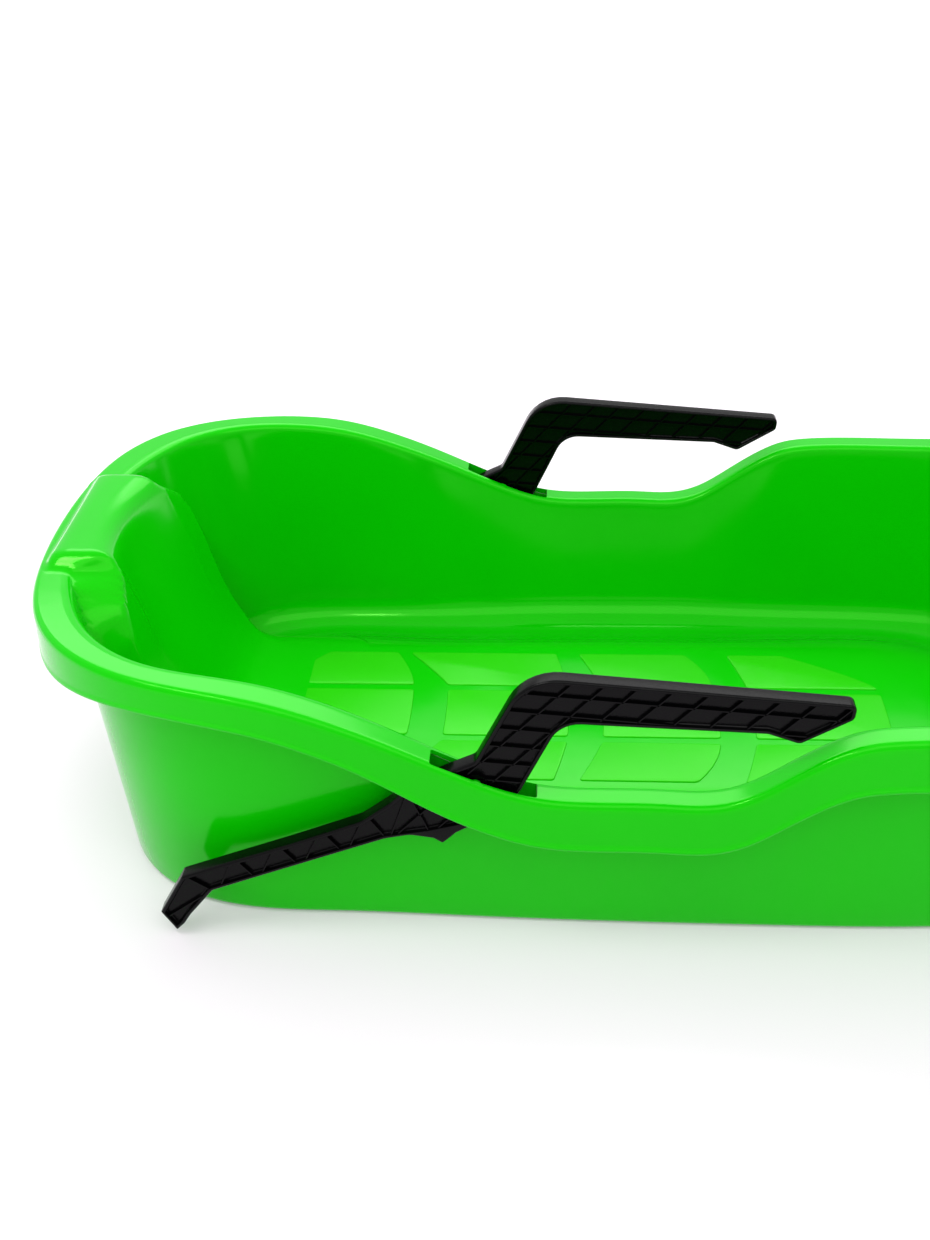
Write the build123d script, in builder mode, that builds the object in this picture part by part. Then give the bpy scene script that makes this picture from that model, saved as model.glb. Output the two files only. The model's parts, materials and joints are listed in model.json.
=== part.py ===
from build123d import *
import math
import os

os.makedirs("parts", exist_ok=True)

# ---------------------------------------------------------------------------
# One-piece moulded bob sled with two hand brake levers.
# Millimetres, +X forward, +Y to the rider's left, +Z up.
# Origin: on the ground under the middle of the sled.
# Stations below are measured from the front end region of the brake slot (X)
# and from the low side rim (Z); SHIFT_X and SHIFT_Z carry them to the origin.
# ---------------------------------------------------------------------------
SHIFT_X = -145.5          # slot station to sled middle
SHIFT_Z = 126.0           # low rim height above the ground

WALL = 3.0                # skin thickness of the tub
RIM_OUT = 5.0             # skirt face outside the roll line
GROUND = -126.0           # underside of the two runners
CHANNEL = GROUND + WALL + 0.5     # inside surface of the runner channels
SEAT = -85.0              # top of the raised seat panel
TOP = 120.0               # construction plane above every rim

SLOT_X = (-19.0, 47.6)    # brake slot, rear and front ends
SLOT_Y = (192.6, 206.7)   # brake slot, inner and outer sides
PIVOT = (9.0, 10.0)       # brake pivot bar centre (x, z)
BAR_R = 4.0               # pivot bar radius
BAR_FIT = 0.05            # running clearance on the bar
LEVER_T = 11.6            # lever thickness
LEVER_Y = 0.5 * (SLOT_Y[0] + SLOT_Y[1])

ROPE_R = 6.0              # tow rope hole radius
ROPE_Y = 42.0             # half spacing of the rope holes


def at(x, z):
    return (x + SHIFT_X, z + SHIFT_Z)


# Plan stations (x, half width) of the rim's roll line, rear middle to nose
ROLL = [(-301, 0), (-297.5, 60), (-284, 116), (-258, 156), (-214, 185), (-160, 198.5),
        (-90, 203.5), (0, 206), (100, 208), (200, 208), (310, 206.5), (410, 199),
        (480, 175), (540, 131), (578, 73), (592, 0)]
# Inner edge of the flat rim, station by station
INNER = [(-281, 0), (-278, 56), (-265, 104), (-240, 144.5), (-203, 170), (-155, 179.5),
         (-90, 183), (0, 189), (100, 191.5), (200, 191.5), (306, 189.5), (400, 181.5),
         (463, 157), (513, 117), (545, 65), (557, 0)]
# Inside foot of the walls at the channel level
FOOT = [(-254.5, 0), (-254, 52), (-250, 98), (-232, 134), (-197, 162.5), (-150, 176),
        (-90, 178), (0, 180), (100, 182), (200, 182.5), (300, 181), (374, 169),
        (424, 140), (458, 101), (478, 54), (485, 0)]
# Rim height (x, z) along the sled
RIM_REAR = [(-335, 84), (-290, 83), (-240, 80.5), (-192, 77.5), (-150, 74), (-125, 70),
            (-101, 63.5), (-71, 52.4), (-40, 38.6), (-18, 27.8), (5, 16.8), (25, 8.4),
            (45, 2.6), (70, 0)]
RIM_RISE = [(158, 0), (180, 7.5), (202, 22.5), (223, 37), (242, 46.5), (265, 50.5)]
RIM_FRONT = [(265, 50.5), (340, 51), (420, 53.5), (500, 58.5), (560, 61), (610, 61.5)]
# Lower edge of the turned-down skirt (x, z): it stands 25 mm high at the rear, 37 mm elsewhere
LOW_REAR = [(-335, 46), (-290, 47), (-240, 52.5), (-192, 53.7), (-150, 49.5), (-125, 44.5),
            (-101, 36.5), (-71, 23.4), (-40, 5.5), (-18, -8), (5, -20.2), (25, -28.6),
            (45, -34.4), (70, -37)]
LOW_RISE = [(x, z - 37) for x, z in RIM_RISE + RIM_FRONT[1:]]


def rim_at(x):
    pts = RIM_REAR + RIM_RISE + RIM_FRONT[1:]
    for (x0, z0), (x1, z1) in zip(pts[:-1], pts[1:]):
        if x0 <= x <= x1:
            return z0 + (z1 - z0) * (x - x0) / (x1 - x0)
    return pts[-1][1]


def grown(pts, d):
    """Stations moved outward along the outline's own normal."""
    out = []
    for i, (x, y) in enumerate(pts):
        xa, ya = pts[i - 1] if i else (pts[1][0], -pts[1][1])
        xb, yb = pts[i + 1] if i + 1 < len(pts) else (pts[i - 1][0], -pts[i - 1][1])
        tx, ty = xb - xa, yb - ya
        n = math.hypot(tx, ty)
        out.append((x - d * ty / n, y + d * tx / n))
    out[0] = (out[0][0], 0)
    out[-1] = (out[-1][0], 0)
    return out


def at_top(d):
    """Wall stations carried up in a straight line from the foot, through the
    rim's inner edge, to the construction plane."""
    foot = grown(FOOT, d)
    rim = grown(INNER, d)
    out = []
    for (xf, yf), (xr, yr) in zip(foot, rim):
        k = (TOP - CHANNEL) / (rim_at(xr) - CHANNEL)
        out.append((xf + k * (xr - xf), yf + k * (yr - yf)))
    return out


def chain(pts):
    """Arcs through the points, three at a time, or a line where they are straight."""
    for a, b, c in zip(pts[0:-2:2], pts[1:-1:2], pts[2::2]):
        bend = (b[0] - a[0]) * (c[1] - a[1]) - (b[1] - a[1]) * (c[0] - a[0])
        if abs(bend) < 0.05 * math.hypot(c[0] - a[0], c[1] - a[1]):
            Line(a, c)
        else:
            ThreePointArc(a, b, c)


def plan(pts):
    """Closed plan outline through the stations and their mirror image."""
    both = [(x, y) for x, y in pts] + [(x, -y) for x, y in reversed(pts[1:-1])] + [pts[0]]
    chain([(x + SHIFT_X, y) for x, y in both])


# --------------------------------------------------------------- tool solids
# everything below the rim's top surface, and everything below the skirt
def below(line):
    """Solid under a side profile line, right across the sled."""
    with BuildPart() as b:
        with BuildSketch(Plane.XZ):
            with BuildLine():
                chain([at(*p) for p in line])
                Polyline(at(*line[-1]), at(line[-1][0], -400), at(line[0][0], -400), at(*line[0]))
            make_face()
        extrude(amount=260, both=True)
    return b.part


below_rim = below(RIM_REAR + [(90, 0), (125, 0)] + RIM_RISE + RIM_FRONT[1:])
below_skirt = below(LOW_REAR + [(90, -37), (125, -37)] + LOW_RISE)

# rim cap: outside of the rim and skirt
with BuildPart() as cap_out:
    with BuildSketch(Plane.XY.offset(-200 + SHIFT_Z)):
        with BuildLine():
            plan(grown(ROLL, RIM_OUT))
        make_face()
    extrude(amount=400)
    add(below_rim, mode=Mode.INTERSECT)
    add(below_skirt, mode=Mode.SUBTRACT)

# space under the rim, inside the skirt
with BuildPart() as cap_in:
    with BuildSketch(Plane.XY.offset(-200 + SHIFT_Z)):
        with BuildLine():
            plan(grown(ROLL, RIM_OUT - WALL))
        make_face()
    extrude(amount=400)
    add(Pos(0, 0, -WALL) * below_rim, mode=Mode.INTERSECT)


def bowl(d, z_foot, corner):
    """Closed body of the tub, grown by d, from its rounded foot up past the rim."""
    with BuildPart() as b:
        for deg in (0, 30, 60, 90):
            inset = corner * (1 - math.sin(math.radians(deg)))
            up = corner * (1 - math.cos(math.radians(deg)))
            with BuildSketch(Plane.XY.offset(z_foot + up + SHIFT_Z)):
                with BuildLine():
                    plan(grown(FOOT, d - inset))
                make_face()
        with BuildSketch(Plane.XY.offset(TOP + SHIFT_Z)):
            with BuildLine():
                plan(at_top(d))
            make_face()
        loft(ruled=True)
    return b.part


bowl_out = bowl(WALL, GROUND, 8.0)
bowl_in = bowl(0, CHANNEL, 18.0)

# crowned floor: the seat stands over the space between the two runners
SLOPE = 68.0              # floor slope from the vertical, seat to runners


def crown(half, x0, x1, z0, z1):
    """Solid under the crowned floor, from the runners up to the seat plane."""
    with BuildPart() as c:
        with BuildSketch(Plane.XY.offset(z0 + SHIFT_Z)):
            with Locations((0.5 * (x0 + x1) + SHIFT_X, 0)):
                SlotOverall(x1 - x0, 2 * half)
        extrude(amount=z1 - z0, taper=SLOPE)
    return c.part


crown_top = crown(161.0, -198, 466, CHANNEL - 0.4, SEAT)
crown_under = crown(162.5, -199.5, 467.5, GROUND - 1.0, SEAT - 3.5)

# back rest: a panel that stands forward of the rear wall and above the rim
BACK_SIDE = [(-104, -121), (-110, -94), (-146, -91.5), (-170, -86), (-190, -73), (-206, -50), (-224, -10),
             (-238, 30), (-248, 60), (-252, 74), (-257, 85), (-265, 90.5), (-272, 92)]
BACK_FRONT = [(0, 92), (54, 92), (62, 89), (66, 81), (72, 74), (90, 66), (102, 48), (105, 20),
              (101, -20), (98, -60), (104, -90), (112, -118)]


def back_rest(side, front, z_low):
    """Body with the back rest's side profile and front outline."""
    with BuildPart() as b:
        with BuildSketch(Plane.XZ):
            with BuildLine():
                Polyline(*[at(x, z) for x, z in side], close=True)
            make_face()
        extrude(amount=160, both=True)
        with BuildSketch(Plane.YZ.offset(-340 + SHIFT_X)):
            with BuildLine():
                Polyline(*[(y, z + SHIFT_Z) for y, z in front], (front[-1][0], z_low + SHIFT_Z),
                         (-front[-1][0], z_low + SHIFT_Z),
                         *[(-y, z + SHIFT_Z) for y, z in reversed(front[1:])], close=True)
            make_face()
        extrude(amount=240, mode=Mode.INTERSECT)
    return b.part


back_out = back_rest(BACK_SIDE + [(-320, 92), (-320, -121)], BACK_FRONT, -121)
T = 0.8 * WALL
back_in = back_rest(
    [(-200, -95), (-200, -66)] + [(x - T, z - T) for x, z in BACK_SIDE[5:11]]
    + [(-266, 92 - WALL), (-279, 92 - WALL), (-279, 70), (-330, 70), (-330, -95)],
    [(0, 92 - WALL), (54, 92 - WALL)] + [(y - WALL, z) for y, z in BACK_FRONT[2:-2]] + [(98, -96)],
    -97)

# ------------------------------------------------------------------ tub shell
with BuildPart() as back:
    add(bowl_out)
    add(back_out, mode=Mode.INTERSECT)
back_piece = back.part

with BuildPart() as tub:
    add(bowl_out)
    add(below_rim, mode=Mode.INTERSECT)
    add(bowl_in, mode=Mode.SUBTRACT)
    add(crown_top)
    add(back_piece)
    add(crown_under, mode=Mode.SUBTRACT)
    add(back_in, mode=Mode.SUBTRACT)

tub.part.label = "tub_shell"
export_step(tub.part, "parts/tub_shell.step")
print("tub", tub.part.is_valid, round(tub.part.volume), len(tub.solids()))

# ------------------------------------------------- turned-down rim of the tub
with BuildPart() as rim:
    add(cap_out.part)
    add(cap_in.part, mode=Mode.SUBTRACT)
    # brake slots
    for side in (1, -1):
        with Locations((0.5 * sum(SLOT_X) + SHIFT_X, side * (SLOT_Y[1] - 10), SHIFT_Z + 20)):
            Box(SLOT_X[1] - SLOT_X[0], 20, 60, mode=Mode.SUBTRACT)
    # pivot bars across the slots
    for side in (1, -1):
        with BuildSketch(Plane.XZ.offset(-side * 200 - 10)):
            with Locations(at(*PIVOT)):
                Circle(BAR_R)
        extrude(amount=20)
    add(bowl_out, mode=Mode.SUBTRACT)
    # rope holes in the nose rim
    with Locations((571 + SHIFT_X, ROPE_Y, SHIFT_Z + 60), (571 + SHIFT_X, -ROPE_Y, SHIFT_Z + 60)):
        Cylinder(ROPE_R, 60, mode=Mode.SUBTRACT)
    # hand hold in the rear skirt
    with Locations((-310 + SHIFT_X, 0, SHIFT_Z + 41)):
        Box(36, 168, 42, mode=Mode.SUBTRACT)

rim.part.label = "rim"
export_step(rim.part, "parts/rim.step")
print("rim", rim.part.is_valid, round(rim.part.volume), len(rim.solids()), rim.part.bounding_box())

# --------------------------------------------------------------- brake lever
# side outline of a parked lever: corners (x, z) and the radius of each
OUTLINE = [(9.3, 28, 7), (40.4, 91.8, 33), (237.0, 74.2, 7), (236.0, 64.0, 5), (205.5, 45.3, 5),
           (186, 52.5, 6), (61.9, 58.2, 19), (37.5, 6, 20), (27, -12, 10), (6, -23.5, 6),
           (-4, -29.5, 3), (-9.5, -35.2, 1.6), (-13.3, -38.6, 1.6), (-19, -34.6, 4), (-34, -32.3, 14),
           (-50.3, -35.8, 20), (-129.5, -68, 60), (-169, -84.2, 5), (-187, -107, 30), (-192, -115, 4),
           (-198, -121.3, 0.8), (-207, -105, 1.0), (-188.5, -72.5, 4), (-111, -41.5, 60),
           (-65, -22, 30), (-45, -6, 20), (-34, 6, 8), (-4, 21.5, 3)]


def rounded(corners):
    """Closed outline of lines and tangent arcs."""
    runs = []
    n = len(corners)
    for k in range(n):
        (ax, az, _), (bx, bz, r), (cx, cz, _) = corners[k - 1], corners[k], corners[(k + 1) % n]
        la, lc = math.hypot(ax - bx, az - bz), math.hypot(cx - bx, cz - bz)
        ux, uz, vx, vz = (ax - bx) / la, (az - bz) / la, (cx - bx) / lc, (cz - bz) / lc
        half = 0.5 * math.acos(max(-1.0, min(1.0, ux * vx + uz * vz)))
        t = min(r / math.tan(half), 0.45 * la, 0.45 * lc)
        r = t * math.tan(half)
        w = math.hypot(ux + vx, uz + vz)
        m = r / math.sin(half) - r
        runs.append(((bx + ux * t, bz + uz * t), (bx + (ux + vx) / w * m, bz + (uz + vz) / w * m),
                     (bx + vx * t, bz + vz * t)))
    for k in range(n):
        ThreePointArc(*[at(*q) for q in runs[k]])
        Line(at(*runs[k][2]), at(*runs[(k + 1) % n][0]))


def lever(side):
    y = side * LEVER_Y
    with BuildPart() as p:
        with BuildSketch(Plane.XZ.offset(-y - 0.5 * LEVER_T)):
            with BuildLine():
                rounded(OUTLINE)
            make_face()
            with Locations(at(*PIVOT)):
                Circle(BAR_R + BAR_FIT, mode=Mode.SUBTRACT)
        extrude(amount=LEVER_T)
    return p.part


for name, side in (("brake_lever_left", 1), ("brake_lever_right", -1)):
    body = lever(side)
    body.label = name
    export_step(body, "parts/" + name + ".step")
    print(name, body.is_valid, round(body.volume), body.bounding_box())
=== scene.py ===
import json
import math

import bmesh
import bpy
import numpy as np
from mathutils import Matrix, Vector
from mathutils.geometry import tessellate_polygon


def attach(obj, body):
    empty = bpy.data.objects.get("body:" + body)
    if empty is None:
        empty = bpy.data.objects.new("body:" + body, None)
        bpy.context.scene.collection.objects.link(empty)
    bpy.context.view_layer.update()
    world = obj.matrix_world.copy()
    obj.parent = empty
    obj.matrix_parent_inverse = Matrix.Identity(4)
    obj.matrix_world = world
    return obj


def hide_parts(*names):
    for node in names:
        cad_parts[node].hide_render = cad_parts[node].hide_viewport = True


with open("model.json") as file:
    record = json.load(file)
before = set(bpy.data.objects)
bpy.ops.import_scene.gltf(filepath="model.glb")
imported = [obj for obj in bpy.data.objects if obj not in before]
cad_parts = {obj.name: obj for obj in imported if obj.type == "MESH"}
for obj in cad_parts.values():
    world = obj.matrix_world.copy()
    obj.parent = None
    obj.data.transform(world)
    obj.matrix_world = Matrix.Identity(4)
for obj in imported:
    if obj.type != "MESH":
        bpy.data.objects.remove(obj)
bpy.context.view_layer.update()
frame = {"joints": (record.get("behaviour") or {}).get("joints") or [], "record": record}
RECORD = frame["record"]

# --------------------------------------------------------------------------
# Stations below are millimetres in the plan of the moulding: x along the sled
# and z up from the low side rim, both measured at the brake pivot.
# --------------------------------------------------------------------------
PIVOT = (9.0, 10.0)
JOINT = {j["name"]: j for j in frame["joints"]}
_p = JOINT["brake_left"]["pos_m"]
SX = _p[0] - PIVOT[0] / 1000.0
SZ = _p[2] - PIVOT[1] / 1000.0
LEVER_Y = abs(_p[1]) * 1000.0

WALL = 3.0
RIM_OUT = 4.9
GROUND = -SZ * 1000.0
CHANNEL = GROUND + 3.5
SEAT = -85.0
SLOT_X = (-19.0, 47.6)
SLOT_Y = (192.6, 206.7)

ROLL = [(-301, 0), (-297.5, 60), (-284, 116), (-258, 156), (-214, 185), (-160, 198.5),
        (-90, 203.5), (0, 206), (100, 208), (200, 208), (310, 206.5), (410, 199),
        (480, 175), (540, 131), (578, 73), (592, 0)]
INNER = [(-281, 0), (-278, 56), (-265, 104), (-240, 144.5), (-203, 170), (-155, 179.5),
         (-90, 183), (0, 189), (100, 191.5), (200, 191.5), (306, 189.5), (400, 181.5),
         (463, 157), (513, 117), (545, 65), (557, 0)]
FOOT = [(-254.5, 0), (-254, 52), (-250, 98), (-232, 134), (-197, 162.5), (-150, 176),
        (-90, 178), (0, 180), (100, 182), (200, 182.5), (300, 181), (374, 169),
        (424, 140), (458, 101), (478, 54), (485, 0)]
SEAT_EDGE = [(-152, 0), (-151, 25), (-148, 46), (-140, 63), (-123, 75), (-96, 82), (-55, 85),
             (5, 86), (100, 86), (190, 85), (250, 80), (292, 68), (314, 54), (327, 37), (334, 19),
             (336, 0)]
CENTRE = [-118, -116, -110, -100, -86, -66, -35, 8, 100, 190, 236, 262, 280, 290, 296, 298]
RIM_Z = [(-335, 84), (-290, 83), (-240, 80.5), (-192, 77.5), (-150, 74), (-125, 70),
         (-101, 63.5), (-71, 52.4), (-40, 38.6), (-18, 27.8), (5, 16.8), (25, 8.4),
         (45, 2.6), (70, 0), (90, 0), (125, 0), (158, 0), (180, 7.5), (202, 22.5), (223, 37),
         (242, 46.5), (265, 50.5), (340, 51), (420, 53.5), (500, 58.5), (560, 61), (610, 61.5)]
LOW_Z = [(-335, 46), (-290, 47), (-240, 52.5), (-192, 53.7), (-150, 49.5), (-125, 44.5), (-101, 36.5),
         (-71, 23.4), (-40, 5.5), (-18, -8), (5, -20.2), (25, -28.6), (45, -34.4), (70, -37),
         (90, -37), (125, -37)] + [(x, z - 37) for x, z in RIM_Z[16:]]
DISH = -114.0             # inside of the floor at the foot of the walls


def cubic(t, y, periodic):
    """Second derivatives of the interpolating cubic spline."""
    n = len(t)
    a = np.zeros((n, n))
    b = np.zeros((n, y.shape[1]))
    h = np.diff(t)
    if periodic:
        m = n - 1
        for i in range(m):
            h0, h1 = h[(i - 1) % m], h[i]
            a[i, (i - 1) % m] += h0 / 6
            a[i, i] += (h0 + h1) / 3
            a[i, (i + 1) % m] += h1 / 6
            b[i] = (y[(i + 1) % m] - y[i]) / h1 - (y[i] - y[(i - 1) % m]) / h0
        s = np.zeros((n, y.shape[1]))
        s[:m] = np.linalg.solve(a[:m, :m], b[:m])
        s[m] = s[0]
        return s
    a[0, 0] = a[-1, -1] = 1
    for i in range(1, n - 1):
        a[i, i - 1] = h[i - 1] / 6
        a[i, i] = (h[i - 1] + h[i]) / 3
        a[i, i + 1] = h[i] / 6
        b[i] = (y[i + 1] - y[i]) / h[i] - (y[i] - y[i - 1]) / h[i - 1]
    return np.linalg.solve(a, b)


def spline_at(t, y, s, q):
    i = np.clip(np.searchsorted(t, q, side="right") - 1, 0, len(t) - 2)
    h = (t[i + 1] - t[i])[:, None]
    u = ((t[i + 1] - q) / (t[i + 1] - t[i]))[:, None]
    v = 1 - u
    return u * y[i] + v * y[i + 1] + ((u ** 3 - u) * s[i] + (v ** 3 - v) * s[i + 1]) * h * h / 6


_rz = np.array(RIM_Z, float)
_rs = cubic(_rz[:, 0], _rz[:, 1:2], False)


def rim_z(x):
    x = np.atleast_1d(np.asarray(x, float))
    return spline_at(_rz[:, 0], _rz[:, 1:2], _rs, np.clip(x, -334, 609))[:, 0]


_lz = np.array(LOW_Z, float)
_ls = cubic(_lz[:, 0], _lz[:, 1:2], False)


def low_z(x):
    """Height of the skirt's lower edge."""
    x = np.atleast_1d(np.asarray(x, float))
    return spline_at(_lz[:, 0], _lz[:, 1:2], _ls, np.clip(x, -334, 609))[:, 0]


def closed(stations):
    return np.array(stations + [(x, -y) for x, y in reversed(stations[1:-1])] + [stations[0]], float)


class Loop:
    """Closed plan curve whose station number is its parameter."""

    def __init__(self, stations):
        self.p = closed(stations)
        d = np.sqrt((np.diff(self.p, axis=0) ** 2).sum(1))
        self.t = np.concatenate([[0], np.cumsum(np.maximum(d, 1e-3))])
        self.s = cubic(self.t, self.p, True)

    def at(self, k):
        """Points at station parameters k (0 .. number of stations)."""
        q = np.interp(k, np.arange(len(self.t)), self.t)
        return spline_at(self.t, self.p, self.s, q)


def smooth(x):
    x = np.clip(x, 0, 1)
    return x * x * (3 - 2 * x)


# ------------------------------------------------------------ shared helpers
def to_world(p):
    q = np.array(p, float) / 1000.0
    q[..., 0] += SX
    q[..., 2] += SZ
    return q


def add_mesh(name, verts, faces, world=True):
    me = bpy.data.meshes.new(name)
    v = to_world(verts) if world else np.array(verts, float)
    me.from_pydata([tuple(a) for a in v], [], faces)
    me.validate()
    ob = bpy.data.objects.new(name, me)
    bpy.context.scene.collection.objects.link(ob)
    return ob


def apply_all(ob):
    dg = bpy.context.evaluated_depsgraph_get()
    me = bpy.data.meshes.new_from_object(ob.evaluated_get(dg))
    ob.modifiers.clear()
    old = ob.data
    ob.data = me
    bpy.data.meshes.remove(old)
    return ob


def boolean(ob, cutter, op="DIFFERENCE"):
    m = ob.modifiers.new("cut", "BOOLEAN")
    m.operation = op
    m.solver = "EXACT"
    m.object = cutter
    apply_all(ob)
    bpy.data.objects.remove(cutter)
    return ob


def shade(ob, angle=35.0):
    me = ob.data
    bm = bmesh.new()
    bm.from_mesh(me)
    lim = math.radians(angle)
    for f in bm.faces:
        f.smooth = True
    for e in bm.edges:
        e.smooth = not (len(e.link_faces) != 2 or e.calc_face_angle(0) > lim)
    bm.to_mesh(me)
    bm.free()


def block(name, x0, x1, y0, y1, z0, z1, r=0.0, axis="Z", seg=5):
    """Box with its corners rounded about one axis."""
    if axis == "Z":
        a0, a1, b0, b1, c0, c1 = x0, x1, y0, y1, z0, z1
    elif axis == "X":
        a0, a1, b0, b1, c0, c1 = y0, y1, z0, z1, x0, x1
    else:
        a0, a1, b0, b1, c0, c1 = x0, x1, z0, z1, y0, y1
    ring = []
    for cx, cy, st in ((a1 - r, b1 - r, 0), (a0 + r, b1 - r, 90), (a0 + r, b0 + r, 180), (a1 - r, b0 + r, 270)):
        for i in range(seg + 1 if r else 1):
            a = math.radians(st + 90.0 * i / seg)
            ring.append((cx + r * math.cos(a), cy + r * math.sin(a)))
    n = len(ring)
    vs = []
    for c in (c0, c1):
        for a, b in ring:
            vs.append((a, b, c) if axis == "Z" else (c, a, b) if axis == "X" else (a, c, b))
    fs = [list(range(n))[::-1], list(range(n, 2 * n))]
    fs += [[i, (i + 1) % n, n + (i + 1) % n, n + i] for i in range(n)]
    ob = add_mesh(name, vs, fs)
    bm = bmesh.new()
    bm.from_mesh(ob.data)
    bmesh.ops.recalc_face_normals(bm, faces=bm.faces)
    bm.to_mesh(ob.data)
    bm.free()
    return ob


# ------------------------------------------------------------------ the tub
def arc3(p0, p1, p2, r, n):
    """Fillet of radius r at corner p1, as n+1 points, for arrays of corners."""
    a = p0 - p1
    b = p2 - p1
    la = np.linalg.norm(a, axis=1, keepdims=True)
    lb = np.linalg.norm(b, axis=1, keepdims=True)
    a, b = a / la, b / lb
    cosang = np.clip((a * b).sum(1, keepdims=True), -1, 1)
    half = 0.5 * np.arccos(cosang)
    tan_len = r / np.tan(half)
    tan_len = np.minimum(tan_len, 0.48 * np.minimum(la, lb))
    rr = tan_len * np.tan(half)
    bis = a + b
    bis /= np.maximum(np.linalg.norm(bis, axis=1, keepdims=True), 1e-9)
    c = p1 + bis * rr / np.sin(half)
    s = p1 + a * tan_len
    e = p1 + b * tan_len
    vs, ve = s - c, e - c
    om = np.pi - 2 * half
    out = []
    for i in range(n + 1):
        u = i / n
        w0 = np.sin((1 - u) * om) / np.sin(om)
        w1 = np.sin(u * om) / np.sin(om)
        out.append(c + vs * w0 + ve * w1)
    return out


def straight(p, q, n):
    """n interior points between p and q."""
    return [p + (q - p) * (i / (n + 1)) for i in range(1, n + 1)]


# side profile of the back rest, from the seat up and over to the rear rim
BACK = [(-60, SEAT), (-112, SEAT), (-146, -83.6), (-170, -78), (-189, -66.5), (-203, -47), (-216, -18),
        (-228, 15), (-238, 45), (-245, 66), (-249.5, 79), (-255, 87.5), (-263, 91.1), (-274, 91.8),
        (-286, 91.4), (-291, 89.6), (-293.8, 86), (-296, 83.8), (-299, 83.2)]
BACK_W = [(-122, 112), (-95, 108), (-60, 101), (-20, 101), (20, 104), (45, 101), (62, 93), (73, 78),
          (80, 68), (86, 65), (95, 64)]


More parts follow.
